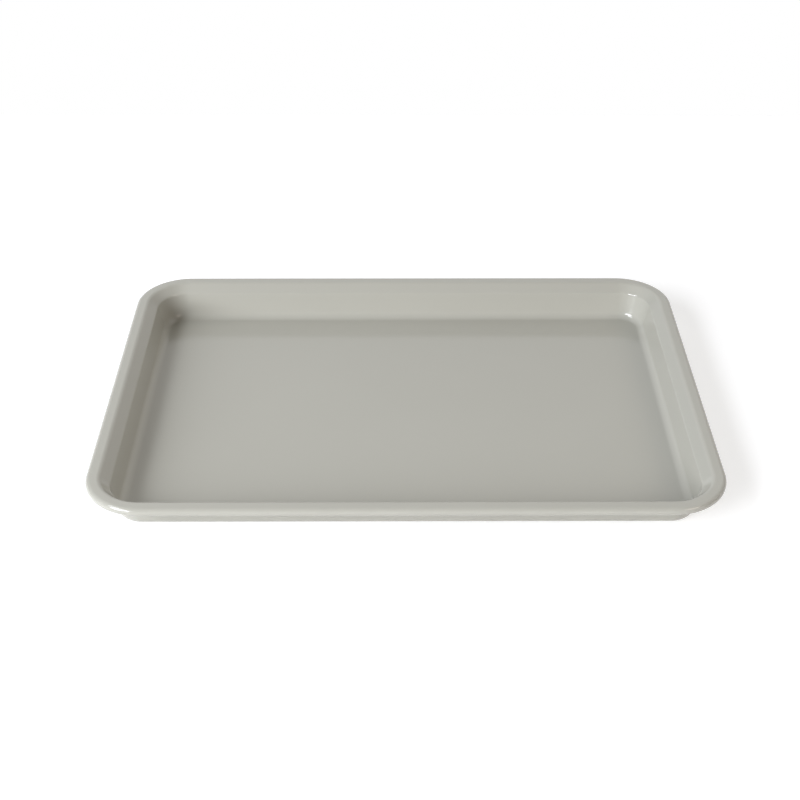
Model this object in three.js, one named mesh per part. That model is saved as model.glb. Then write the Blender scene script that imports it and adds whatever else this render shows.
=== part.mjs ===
// Rimmed baking sheet: one deep-drawn steel pan with a coat all over, a flat floor, drafted
// walls, a sloped shoulder and a flange whose edge is rolled round a steel wire.
// Millimetres, +Z up, origin under the middle of the floor, +X along the longer side.

import * as THREE from 'three';

// Size over everything, and the plan radii of the corners at the rim and at the flat floor
const panLength = 457;
const panWidth = 330;
const panHeight = 29.5;
const rimCornerRadius = 43;
const floorCornerRadius = 12.5;

// Coated sheet, and the wire inside the rolled edge
const sheetThickness = 1;
const wireDiameter = 4;
const wireClearance = 0.3;
const wireButtGap = 0.8;
const rollMouth = 1.2;

// Section from the roll down to the floor, with bend radii, all on the upper face
const rollToShoulder = 2.8;
const shoulderRun = 7.4;
const shoulderDrop = 7;
const wallDraftDegrees = 13;
const flangeBend = 5;
const shoulderBend = 3;
const floorBend = 6.5;

// Fineness of the round stretches
const cornerSteps = 10;
const bendStepDegrees = 18;
const wireSides = 12;

const coat = new THREE.MeshStandardMaterial({ color: 0xaeaca1, roughness: 0.2, metalness: 0 });
const bareWire = new THREE.MeshStandardMaterial({ color: 0xa9acae, roughness: 0.35, metalness: 1 });

// The section is drawn in a plane of inset from the outermost edge and height above the table.
// Its upper face has three bends between straight runs, and then the roll.
const rollRadius = wireDiameter / 2 + wireClearance + sheetThickness;
const rollCentre = new THREE.Vector2(rollRadius, panHeight - rollRadius);
const rollTop = new THREE.Vector2(rollRadius, panHeight);
const flangeCorner = new THREE.Vector2(2 * rollRadius + rollToShoulder, panHeight);
const shoulderCorner = new THREE.Vector2(flangeCorner.x + shoulderRun, panHeight - shoulderDrop);
const wallHeight = shoulderCorner.y - sheetThickness;
const wallRun = wallHeight * Math.tan(THREE.MathUtils.degToRad(wallDraftDegrees));
const wallFoot = new THREE.Vector2(shoulderCorner.x + wallRun, sheetThickness);
const floorward = new THREE.Vector2(1, 0);

// Bend of the sheet at a corner of the section. The arc is tangent to both straight runs, and
// `above` is 1 where its centre lies over the sheet and -1 where it lies under it.
function bend(before, corner, after, radius) {
  const arriving = corner.clone().sub(before).normalize();
  const leaving = after.clone().sub(corner).normalize();
  const turn = Math.atan2(arriving.cross(leaving), arriving.dot(leaving));
  const above = -Math.sign(turn);
  const tangent = radius * Math.tan(Math.abs(turn) / 2);
  const start = corner.clone().addScaledVector(arriving, -tangent);
  const upward = new THREE.Vector2(arriving.y, -arriving.x);
  const centre = start.clone().addScaledVector(upward, above * radius);
  return { centre, radius, from: start.clone().sub(centre).angle(), turn, above };
}

// The roll leaves the flange at its top and goes out, down and back in round the wire, until
// its cut edge stands one mouth below the underside of the flange.
function roll() {
  const edgeRise = Math.asin((rollRadius - sheetThickness - rollMouth) / rollRadius);
  const turn = 1.5 * Math.PI + edgeRise;
  return { centre: rollCentre, radius: rollRadius, from: Math.PI / 2, turn, above: -1 };
}

const bends = [
  bend(wallFoot.clone().add(floorward), wallFoot, shoulderCorner, floorBend),
  bend(wallFoot, shoulderCorner, flangeCorner, shoulderBend),
  bend(shoulderCorner, flangeCorner, rollTop, flangeBend),
  roll(),
];

// Points of a bend on the face that lies `depth` under the upper face. Both faces of the
// sheet share the bend's centre and angles, so the sheet is equally thick all along.
function bendPoints({ centre, radius, from, turn, above }, depth) {
  const faceRadius = radius + above * depth;
  const arc = new THREE.EllipseCurve(
    centre.x, centre.y, faceRadius, faceRadius, from, from + turn, turn < 0,
  );
  const steps = Math.ceil(Math.abs(turn) / THREE.MathUtils.degToRad(bendStepDegrees));
  return arc.getPoints(steps);
}

// Closed section: the upper face from the floor to the cut edge, and the under face back.
const upperFace = bends.flatMap((each) => bendPoints(each, 0));
const underFace = bends.flatMap((each) => bendPoints(each, sheetThickness)).reverse();
const floorInset = upperFace[0].x;

// Corner radius in plan at an inset. The roll turns about one centre, and from its inner side
// the corner tightens evenly down to the flat floor.
const floorTightening = rimCornerRadius - floorInset - floorCornerRadius;
function cornerRadius(inset) {
  const share = THREE.MathUtils.inverseLerp(2 * rollRadius, floorInset, inset);
  return rimCornerRadius - inset - floorTightening * THREE.MathUtils.clamp(share, 0, 1);
}

// Rounded rectangle in plan, anticlockwise from the corner at +X +Y, for one point of a section.
const cornerSides = [[1, 1], [-1, 1], [-1, -1], [1, -1]];
function planLoop({ x: inset, y: height }) {
  const radius = cornerRadius(inset);
  const centreX = panLength / 2 - inset - radius;
  const centreY = panWidth / 2 - inset - radius;
  return cornerSides.flatMap(([sideX, sideY], quarter) => {
    const from = (quarter * Math.PI) / 2;
    const arc = new THREE.EllipseCurve(
      sideX * centreX, sideY * centreY, radius, radius, from, from + Math.PI / 2,
    );
    return arc.getPoints(cornerSteps).map((point) => new THREE.Vector3(point.x, point.y, height));
  });
}

// Closed surface over loops with equal numbers of points: a band between each loop and the
// next, and a flat fan across the first loop and across the last.
function skin(loops) {
  const count = loops[0].length;
  const triangles = [];
  for (let row = 0; row + 1 < loops.length; row += 1) {
    for (let i = 0; i < count; i += 1) {
      const next = (i + 1) % count;
      const here = row * count;
      const beyond = here + count;
      triangles.push(here + i, beyond + i, beyond + next);
      triangles.push(here + i, beyond + next, here + next);
    }
  }
  const last = (loops.length - 1) * count;
  for (let i = 1; i + 1 < count; i += 1) {
    triangles.push(0, i, i + 1);
    triangles.push(last, last + i + 1, last + i);
  }
  const positions = loops.flat().flatMap((point) => point.toArray());
  const geometry = new THREE.BufferGeometry();
  geometry.setAttribute('position', new THREE.Float32BufferAttribute(positions, 3));
  geometry.setIndex(triangles);
  geometry.computeVertexNormals();
  return geometry;
}

function named(name, geometry, material) {
  const mesh = new THREE.Mesh(geometry, material);
  mesh.name = name;
  return mesh;
}

// Pan: the section carried round the plan, with the floor across its inner loops.
function panBody() {
  const section = [...upperFace, ...underFace];
  return named('pan_body', skin(section.map(planLoop)), coat);
}

// Rim wire: a round wire bent to the plan of the roll, with its ends butted in the middle of
// the long side at +Y.
function rimWire() {
  const wireRadius = wireDiameter / 2;
  const section = new THREE.EllipseCurve(
    rollCentre.x, rollCentre.y, wireRadius, wireRadius, 0, 2 * Math.PI, true,
  ).getPoints(wireSides).slice(0, wireSides);
  const runs = section.map(planLoop);
  const stations = runs[0].map((_, station) => runs.map((run) => run[station]));
  const afterButt = cornerSteps + 1;
  const rings = [...stations.slice(afterButt), ...stations.slice(0, afterButt)];
  const end = (x) => rings[0].map((point) => new THREE.Vector3(x, point.y, point.z));
  const wire = [end(-wireButtGap / 2), ...rings, end(wireButtGap / 2)];
  return named('rim_wire', skin(wire), bareWire);
}

const bakingSheet = new THREE.Group();
bakingSheet.name = 'baking_sheet';
bakingSheet.add(panBody(), rimWire());

export default bakingSheet;
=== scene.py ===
"""Looks of a rimmed baking sheet: a drawn steel tray with a glossy warm grey coat, its edge
rolled round a steel wire, on a white studio table. Metres, +Z up, in the frame of the solids."""
import math

import bpy
import numpy as np
from mathutils import Matrix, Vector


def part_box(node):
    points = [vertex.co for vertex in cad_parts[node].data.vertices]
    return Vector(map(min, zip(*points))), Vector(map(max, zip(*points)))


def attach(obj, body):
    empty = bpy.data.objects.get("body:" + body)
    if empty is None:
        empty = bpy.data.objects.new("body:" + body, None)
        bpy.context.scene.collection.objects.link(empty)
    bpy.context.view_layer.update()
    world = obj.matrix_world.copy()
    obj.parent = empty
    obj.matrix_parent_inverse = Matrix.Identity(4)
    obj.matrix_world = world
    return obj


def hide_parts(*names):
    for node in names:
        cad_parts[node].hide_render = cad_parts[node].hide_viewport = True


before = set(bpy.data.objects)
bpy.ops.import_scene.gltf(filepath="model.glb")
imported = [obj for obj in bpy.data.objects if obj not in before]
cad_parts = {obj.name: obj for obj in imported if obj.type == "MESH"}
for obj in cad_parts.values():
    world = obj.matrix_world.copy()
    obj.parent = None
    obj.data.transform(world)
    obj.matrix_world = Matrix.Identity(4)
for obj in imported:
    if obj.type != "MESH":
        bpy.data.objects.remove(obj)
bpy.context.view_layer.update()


# Pan body
# One steel blank, drawn to a flat floor, drafted walls, a sloped shoulder and a flat flange, then
# rolled at the edge. A smooth ceramic-type coat covers both faces and rounds the cut edge.

PAN_LOW, PAN_HIGH = (np.array(corner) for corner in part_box("pan_body"))
PAN_LENGTH, PAN_WIDTH, PAN_HEIGHT = PAN_HIGH - PAN_LOW
SHEET = 0.001
ROLL_RADIUS = 0.0033
ROLL_MOUTH = 0.0012
ROLL_TO_SHOULDER = 0.0028
SHOULDER_RUN = 0.0074
SHOULDER_DROP = 0.007
WALL_DRAFT = math.radians(13)
FLANGE_BEND = 0.005
SHOULDER_BEND = 0.003
FLOOR_BEND = 0.0065
RIM_CORNER = 0.043
FLOOR_CORNER = 0.0125

BEND_STEP = math.radians(4)
CORNER_STEPS = 36
SIDE_STEPS = 24
RUN_SHARES = np.array([0.03, 0.2, 0.5, 0.8, 0.97])
FLOOR_SHARES = np.array([0.1, 0.3, 0.5, 0.7, 0.85, 0.95, 0.985, 0.998])

COAT_DARK = (0.411, 0.402, 0.353, 1.0)
COAT_LIGHT = (0.423, 0.414, 0.365, 1.0)
COAT_FLECK = (0.3, 0.294, 0.26, 1.0)
COAT_ROUGHNESS = (0.1, 0.12)
COAT_IOR = 1.5
CLOUD_SCALE = 11.0
CLOUD_DETAIL = 3.0
FLECK_SCALE = 1700.0
FLECK_DETAIL = 1.0
FLECK_BAND = (0.35, 0.75)
FLECK_SHARE = (0.0, 0.06)
RIPPLE_SCALE = 420.0
RIPPLE_DETAIL = 2.0
RIPPLE_STRENGTH = 0.05
RIPPLE_HEIGHT = 0.0001
GLOSS_BAND = (0.3, 0.7)


def bend(before, corner, after, radius):
    """Arc tangent to two straight runs of the section: its centre, its radius, the angle where it
    starts, the angle it turns through, and +1 if its centre lies over the sheet or -1 under it."""
    arriving = (corner - before) / np.linalg.norm(corner - before)
    leaving = (after - corner) / np.linalg.norm(after - corner)
    cross = arriving[0] * leaving[1] - arriving[1] * leaving[0]
    turn = math.atan2(cross, arriving @ leaving)
    above = -np.sign(turn)
    start = corner - arriving * radius * math.tan(abs(turn) / 2)
    centre = start + above * radius * np.array([arriving[1], -arriving[0]])
    return centre, radius, math.atan2(*(start - centre)[::-1]), turn, above


def sheet_bends():
    """The four arcs of the section from floor to cut edge, in inset from the outermost edge and
    height above the table: floor bend, shoulder bend, flange bend and the roll."""
    flange = np.array([2 * ROLL_RADIUS + ROLL_TO_SHOULDER, PAN_HEIGHT])
    shoulder = flange + (SHOULDER_RUN, -SHOULDER_DROP)
    foot = np.array([shoulder[0] + (shoulder[1] - SHEET) * math.tan(WALL_DRAFT), SHEET])
    on_floor = foot + (FLOOR_BEND, 0)
    roll_top = np.array([ROLL_RADIUS, PAN_HEIGHT])
    roll_centre = roll_top - (0, ROLL_RADIUS)
    edge_rise = math.asin((ROLL_RADIUS - SHEET - ROLL_MOUTH) / ROLL_RADIUS)
    return [
        bend(on_floor, foot, shoulder, FLOOR_BEND),
        bend(foot, shoulder, flange, SHOULDER_BEND),
        bend(shoulder, flange, roll_top, FLANGE_BEND),
        (roll_centre, ROLL_RADIUS, math.pi / 2, 1.5 * math.pi + edge_rise, -1),
    ]


def arc(centre, radius, start, turn):
    """Points at even angles on an arc, at most BEND_STEP apart."""
    angle = start + turn * np.linspace(0, 1, math.ceil(abs(turn) / BEND_STEP) + 1)
    return centre + radius * np.column_stack([np.cos(angle), np.sin(angle)])


def face(bends, depth):
    """One face of the sheet, `depth` under its upper face: every bend keeps its centre and takes
    the depth on its radius, and each straight run gets points at RUN_SHARES of its length."""
    arcs = [arc(centre, radius + above * depth, start, turn)
            for centre, radius, start, turn, above in bends]
    shares = RUN_SHARES[:, None]
    runs = [first[-1] + shares * (second[0] - first[-1]) for first, second in zip(arcs, arcs[1:])]
    return np.vstack([arcs[0], *(part for pair in zip(runs, arcs[1:]) for part in pair)])


def sheet_section():
    """Strip of sheet from floor to floor: the upper face, a half round cut edge, and the under
    face back."""
    bends = sheet_bends()
    upper, under = face(bends, 0), face(bends, SHEET)
    edge_centre = (upper[-1] + under[-1]) / 2
    out = upper[-1] - edge_centre
    edge = arc(edge_centre, SHEET / 2, math.atan2(out[1], out[0]), math.pi)[1:-1]
    return np.vstack([upper, edge, under[::-1]])


def plan_stations():
    """Stations anticlockwise round the plan, as sides and outward directions. The sides are the
    signs of the corner's place in X and Y: each corner keeps its own while the direction turns a
    quarter, and along a straight side they slide from one corner's to the next."""
    corners = np.array([[1, 1], [-1, 1], [-1, -1], [1, -1]])
    quarter = np.linspace(0, math.pi / 2, CORNER_STEPS + 1)
    along = np.linspace(0, 1, SIDE_STEPS + 1)[1:-1, None]
    sides, angles = [], []
    for turned, (here, ahead) in enumerate(zip(corners, np.roll(corners, -1, axis=0))):
        sides += [np.tile(here, (CORNER_STEPS + 1, 1)), here + along * (ahead - here)]
        angles += [turned * math.pi / 2 + quarter, np.full(SIDE_STEPS - 1, (turned + 1) * math.pi / 2)]
    angle = np.concatenate(angles)
    return np.vstack(sides), np.column_stack([np.cos(angle), np.sin(angle)])


def corner_radius(inset, floor_inset):
    """Plan radius of a corner at an inset. The roll turns about one centre, so there the radius is
    RIM_CORNER less the inset. From the roll's inner side the corner tightens evenly, down to
    FLOOR_CORNER at the flat floor."""
    share = np.clip((inset - 2 * ROLL_RADIUS) / (floor_inset - 2 * ROLL_RADIUS), 0, 1)
    return RIM_CORNER - inset - share * (RIM_CORNER - floor_inset - FLOOR_CORNER)


def carry(section):
    """Section carried round the plan: a section point stands at the corner's centre for its inset
    plus the outward direction times the corner's radius there. Rows follow the section."""
    sides, outward = plan_stations()
    inset, height = section.T
    radius = corner_radius(inset, inset[0])
    centre = np.array([PAN_LENGTH, PAN_WIDTH]) / 2 - (inset + radius)[:, None]
    flat = centre[:, None] * sides + radius[:, None, None] * outward
    height = np.broadcast_to(height[:, None, None], flat.shape[:2] + (1,))
    return np.concatenate([flat, height], axis=2)


def wrapped(name, rows, first_pole, last_pole):
    """Closed mesh over rows of equal loops: quads between neighbouring loops, and triangles from
    the first and last loop to a pole each. Rows run so that the quads face outwards."""
    count, size = rows.shape[:2]
    index = np.arange(count * size).reshape(count, size)
    ahead = np.roll(index, -1, axis=1)
    quads = np.stack([index[:-1], index[1:], ahead[1:], ahead[:-1]], axis=2).reshape(-1, 4)
    pole = np.full(size, count * size)
    first = np.column_stack([pole, index[0], ahead[0]])
    last = np.column_stack([index[-1], pole + 1, ahead[-1]])
    points = np.vstack([rows.reshape(-1, 3), first_pole, last_pole])
    mesh = bpy.data.meshes.new(name)
    mesh.from_pydata(points.tolist(), [], quads.tolist() + first.tolist() + last.tolist())
    mesh.shade_smooth()
    piece = bpy.data.objects.new(name, mesh)
    bpy.context.scene.collection.objects.link(piece)
    return piece


def pan_mesh():
    """The section carried round the plan, with both floor faces as shrinking copies of the floor's
    edge: each copy is the edge loop times one of FLOOR_SHARES, and the middle is the pole."""
    wall = carry(sheet_section())
    shares = FLOOR_SHARES[:, None, None]
    floor_top, floor_under = ((wall[edge] * (1, 1, 0))[None] * shares for edge in (0, -1))
    floor_top = floor_top + (0, 0, SHEET)
    rows = np.concatenate([floor_top, wall, floor_under[::-1]])
    return wrapped("coated_pan", rows, (0, 0, SHEET), (0, 0, 0))


def add(tree, kind, inputs=(), **settings):
    """A shader node with its settings, and its inputs set to values or linked from other nodes."""
    node = tree.nodes.new(kind)
    for key, value in settings.items():
        setattr(node, key, value)
    for key, value in dict(inputs).items():
        if isinstance(value, bpy.types.NodeSocket):
            tree.links.new(value, node.inputs[key])
        else:
            node.inputs[key].default_value = value
    return node


def noise(tree, place, scale, detail):
    """Cloudy values about one half, with `scale` cells to the metre and `detail` finer layers."""
    inputs = {"Vector": place, "Scale": scale, "Detail": detail}
    return add(tree, "ShaderNodeTexNoise", inputs).outputs["Fac"]


def mixed(tree, share, first, second):
    """Colour that goes from the first to the second as the share goes from 0 to 1."""
    inputs = {"Factor": share, "A": first, "B": second}
    return add(tree, "ShaderNodeMix", inputs, data_type="RGBA").outputs["Result"]


def spread(tree, value, band, given, **settings):
    """Node value carried from a band of values to a given range, and held at the range's ends."""
    return add(tree, "ShaderNodeMapRange", {
        "Value": value,
        "From Min": band[0], "From Max": band[1], "To Min": given[0], "To Max": given[1],
    }, **settings).outputs["Result"]


def new_material(name):
    """An empty node material with its output node."""
    material = bpy.data.materials.new(name)
    material.use_nodes = True
    tree = material.node_tree
    tree.nodes.clear()
    return material, tree, tree.nodes.new("ShaderNodeOutputMaterial")


def coat_material():
    """Sprayed and fired coat: warm grey with faint clouding and fine flecks, a gloss that wavers
    a little, and the low ripple that a sprayed film keeps."""
    material, tree, output = new_material("warm_grey_coat")
    place = add(tree, "ShaderNodeTexCoord").outputs["Object"]
    cloud = noise(tree, place, CLOUD_SCALE, CLOUD_DETAIL)
    fleck = noise(tree, place, FLECK_SCALE, FLECK_DETAIL)
    ripple = noise(tree, place, RIPPLE_SCALE, RIPPLE_DETAIL)
    clouded = mixed(tree, cloud, COAT_DARK, COAT_LIGHT)
    flecked = mixed(tree, spread(tree, fleck, FLECK_BAND, FLECK_SHARE), clouded, COAT_FLECK)
    relief = add(tree, "ShaderNodeBump", {
        "Height": ripple, "Strength": RIPPLE_STRENGTH, "Distance": RIPPLE_HEIGHT,
    })
    surface = add(tree, "ShaderNodeBsdfPrincipled", {
        "Base Color": flecked,
        "Roughness": spread(tree, cloud, GLOSS_BAND, COAT_ROUGHNESS),
        "Normal": relief.outputs["Normal"],
        "IOR": COAT_IOR,
    })
    tree.links.new(surface.outputs["BSDF"], output.inputs["Surface"])
    return material


pan = pan_mesh()
pan.data.materials.append(coat_material())
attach(pan, "root")
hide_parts("pan_body")


# Rim wire
# A round drawn steel wire that stiffens the rim, bent to the plan of the roll. Its ends butt in
# the middle of one long side, and the roll holds it all round.

WIRE_RADIUS = 0.002
WIRE_BUTT_GAP = 0.0008
WIRE_CHAMFER = 0.0003
WIRE_SIDES = 32

WIRE_DARK = (0.5, 0.51, 0.52, 1.0)
WIRE_LIGHT = (0.66, 0.67, 0.68, 1.0)
WIRE_ROUGHNESS = (0.32, 0.46)
MOTTLE_SCALE = 900.0
MOTTLE_DETAIL = 4.0


def wire_mesh():
    """A circle carried along the plan of the roll, from one side of the butt round to the other,
    with a smaller circle at each end for the chamfer and a pole in the middle of each cut. The
    station in the middle of the side at +Y gives way to the butt."""
    sides, outward = plan_stations()
    spots = sides * (np.array([PAN_LENGTH, PAN_WIDTH]) / 2 - RIM_CORNER)
    back_y = PAN_WIDTH / 2 - RIM_CORNER
    butt = CORNER_STEPS + SIDE_STEPS // 2
    spots, outward = (np.roll(each, -butt, axis=0)[1:] for each in (spots, outward))
    half_gap = WIRE_BUTT_GAP / 2
    starts = [[-half_gap, back_y], [-half_gap - WIRE_CHAMFER, back_y]]
    ends = [[half_gap + WIRE_CHAMFER, back_y], [half_gap, back_y]]
    spots = np.vstack([starts, spots, ends])
    outward = np.vstack([[[0, 1]] * 2, outward, [[0, 1]] * 2])
    radius = np.full(len(spots), WIRE_RADIUS)
    radius[[0, -1]] -= WIRE_CHAMFER
    angle = np.linspace(0, 2 * math.pi, WIRE_SIDES, endpoint=False)
    reach = RIM_CORNER - ROLL_RADIUS + radius[:, None] * np.cos(angle)
    height = PAN_HEIGHT - ROLL_RADIUS + radius[:, None] * np.sin(angle)
    flat = spots[:, None] + reach[:, :, None] * outward[:, None]
    rings = np.concatenate([flat, height[:, :, None]], axis=2)
    return wrapped("steel_rim_wire", rings, rings[0].mean(axis=0), rings[-1].mean(axis=0))


def wire_material():
    """Drawn steel: dull grey metal with fine mottling and patchy gloss."""
    material, tree, output = new_material("drawn_steel")
    place = add(tree, "ShaderNodeTexCoord").outputs["Object"]
    mottle = noise(tree, place, MOTTLE_SCALE, MOTTLE_DETAIL)
    surface = add(tree, "ShaderNodeBsdfPrincipled", {
        "Base Color": mixed(tree, mottle, WIRE_DARK, WIRE_LIGHT),
        "Roughness": spread(tree, mottle, GLOSS_BAND, WIRE_ROUGHNESS),
        "Metallic": 1.0,
    })
    tree.links.new(surface.outputs["BSDF"], output.inputs["Surface"])
    return material


wire = wire_mesh()
wire.data.materials.append(wire_material())
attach(wire, "root")
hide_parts("rim_wire")


# Table
# A white studio table just under the tray. To the rays that see it, it is its own glow and lit
# paint together, so it is white in the light and keeps the tray's shadow. To light it is paint.

TABLE_HALF = 0.6
TABLE_DROP = 0.0002
TABLE_PAINT = (0.95, 0.95, 0.95, 1.0)
TABLE_GLOW = 0.535
TABLE_SEEN_PAINT = (0.65, 0.65, 0.65, 1.0)


def larger(tree, first, second):
    """The larger of two node values."""
    return add(tree, "ShaderNodeMath", {0: first, 1: second}, operation="MAXIMUM").outputs[0]


def table_material():
    """Glow plus paint for rays from the camera and for rays mirrored or passed on to it, and paint
    alone for the rest."""
    material, tree, output = new_material("white_table")
    glow = add(tree, "ShaderNodeEmission", {"Strength": TABLE_GLOW})
    lit = add(tree, "ShaderNodeBsdfDiffuse", {"Color": TABLE_SEEN_PAINT})
    seen = add(tree, "ShaderNodeAddShader", {0: glow.outputs[0], 1: lit.outputs[0]})
    paint = add(tree, "ShaderNodeBsdfDiffuse", {"Color": TABLE_PAINT})
    ray = add(tree, "ShaderNodeLightPath").outputs
    passed_on = larger(tree, ray["Is Glossy Ray"], ray["Is Transmission Ray"])
    either = add(tree, "ShaderNodeMixShader", {
        0: larger(tree, ray["Is Camera Ray"], passed_on), 1: paint.outputs[0], 2: seen.outputs[0],
    })
    tree.links.new(either.outputs[0], output.inputs["Surface"])
    return material


def table_top():
    """A flat square, TABLE_DROP under the tray."""
    corners = np.array([[-1, -1, 0], [1, -1, 0], [1, 1, 0], [-1, 1, 0]]) * TABLE_HALF
    corners = corners - (0, 0, TABLE_DROP)
    mesh = bpy.data.meshes.new("white_table")
    mesh.from_pydata(corners.tolist(), [], [[0, 1, 2, 3]])
    mesh.materials.append(table_material())
    table = bpy.data.objects.new("white_table", mesh)
    bpy.context.scene.collection.objects.link(table)
    return table


table_top()


# Studio light
# A white wall behind the table, a cool softbox with a small lamp over it on the left in front, and
# a weak warm softbox on the right in front. The room is dark overhead and behind the camera.

WALL_FACING = (0.37, 0.76, 0.5)
WALL_ENDS = 0.385
WALL_FULL = 0.685
WALL_TOP = math.sin(math.radians(60))
CEILING_FROM = math.sin(math.radians(70))
WALL_WHITE = (1.0, 1.0, 1.0, 1.0)
BACKDROP_TOP = math.sin(math.radians(10))
BACKDROP_ENDS = math.sin(math.radians(15))


def ramp(tree, value, start, full):
    """Smooth step from 0 where a node value is `start` to 1 where it is `full`."""
    return spread(tree, value, (start, full), (0, 1), interpolation_type="SMOOTHSTEP")


def product(tree, first, second):
    """Two node values multiplied."""
    return add(tree, "ShaderNodeMath", {0: first, 1: second}, operation="MULTIPLY").outputs[0]


def studio_room():
    """World of a white wall and a low white backdrop. The wall's light depends on the direction's
    share along WALL_FACING and on its Z, and fades out to the sides and overhead. The backdrop is
    only seen: by the camera all over, and by mirrored rays near the horizon."""
    room = bpy.data.worlds.new("studio_room")
    room.use_nodes = True
    tree = room.node_tree
    tree.nodes.clear()
    direction = add(tree, "ShaderNodeTexCoord").outputs["Generated"]
    rise = add(tree, "ShaderNodeSeparateXYZ", {0: direction}).outputs["Z"]
    along = add(tree, "ShaderNodeVectorMath", {0: direction, 1: WALL_FACING}, operation="DOT_PRODUCT")
    behind = ramp(tree, along.outputs["Value"], WALL_ENDS, WALL_FULL)
    wall = product(tree, behind, ramp(tree, rise, CEILING_FROM, WALL_TOP))
    ray = add(tree, "ShaderNodeLightPath").outputs
    mirrored = product(tree, ray["Is Glossy Ray"], ramp(tree, rise, BACKDROP_ENDS, BACKDROP_TOP))
    straight = larger(tree, ray["Is Camera Ray"], ray["Is Transmission Ray"])
    white = add(tree, "ShaderNodeBackground", {
        "Color": WALL_WHITE,
        "Strength": larger(tree, wall, larger(tree, straight, mirrored)),
    })
    add(tree, "ShaderNodeOutputWorld", {"Surface": white.outputs[0]})
    return room


def lamp_at(name, bearing, rise, distance, width, height, watts, color):
    """Rectangular lamp that faces the tray from a bearing about Z and an elevation, in degrees,
    and a distance."""
    light = bpy.data.lights.new(name, "AREA")
    light.shape = "RECTANGLE"
    light.size = width
    light.size_y = height
    light.energy = watts
    light.color = color
    lamp = bpy.data.objects.new(name, light)
    turn = Matrix.Rotation(math.radians(bearing) + math.pi / 2, 4, "Z")
    tilt = Matrix.Rotation(math.pi / 2 - math.radians(rise), 4, "X")
    lamp.matrix_world = turn @ tilt @ Matrix.Translation((0, 0, distance))
    bpy.context.scene.collection.objects.link(lamp)


bpy.context.scene.world = studio_room()
lamp_at("left_softbox", bearing=-135, rise=22.8, distance=3.0, width=1.61, height=1.45,
        watts=118, color=(0.92, 0.946, 1.0))
lamp_at("left_top_lamp", bearing=-152, rise=41, distance=2.5, width=0.8, height=0.5,
        watts=15.5, color=(0.905, 0.945, 1.0))
lamp_at("right_softbox", bearing=-42, rise=30, distance=3.0, width=1.2, height=0.9,
        watts=19, color=(1.0, 0.89, 0.78))


# Camera
# In front of the tray and above it, as in the photograph. The lens is given in the picture's own
# pixels, and the lens, place and turn were solved from the outline of the rim.

CAMERA_PLACE = (-0.0088, -0.9321, 0.6373)
CAMERA_DOWN = math.radians(33.948)
CAMERA_YAW = math.radians(-0.301)
CAMERA_ROLL = math.radians(0.089)
PICTURE_PIXELS = 800
FOCAL_PIXELS = 1416.9
SENSOR_MILLIMETRES = 36.0

camera_data = bpy.data.cameras.new("camera")
camera_data.sensor_width = SENSOR_MILLIMETRES
camera_data.lens = SENSOR_MILLIMETRES * FOCAL_PIXELS / PICTURE_PIXELS
camera = bpy.data.objects.new("camera", camera_data)
camera_aim = Matrix.Rotation(CAMERA_YAW, 4, "Z") @ Matrix.Rotation(math.pi / 2 - CAMERA_DOWN, 4, "X")
camera.matrix_world = (
    Matrix.Translation(CAMERA_PLACE) @ camera_aim @ Matrix.Rotation(CAMERA_ROLL, 4, "Z")
)
bpy.context.scene.collection.objects.link(camera)
bpy.context.scene.camera = camera
bpy.context.scene.view_settings.view_transform = "Standard"
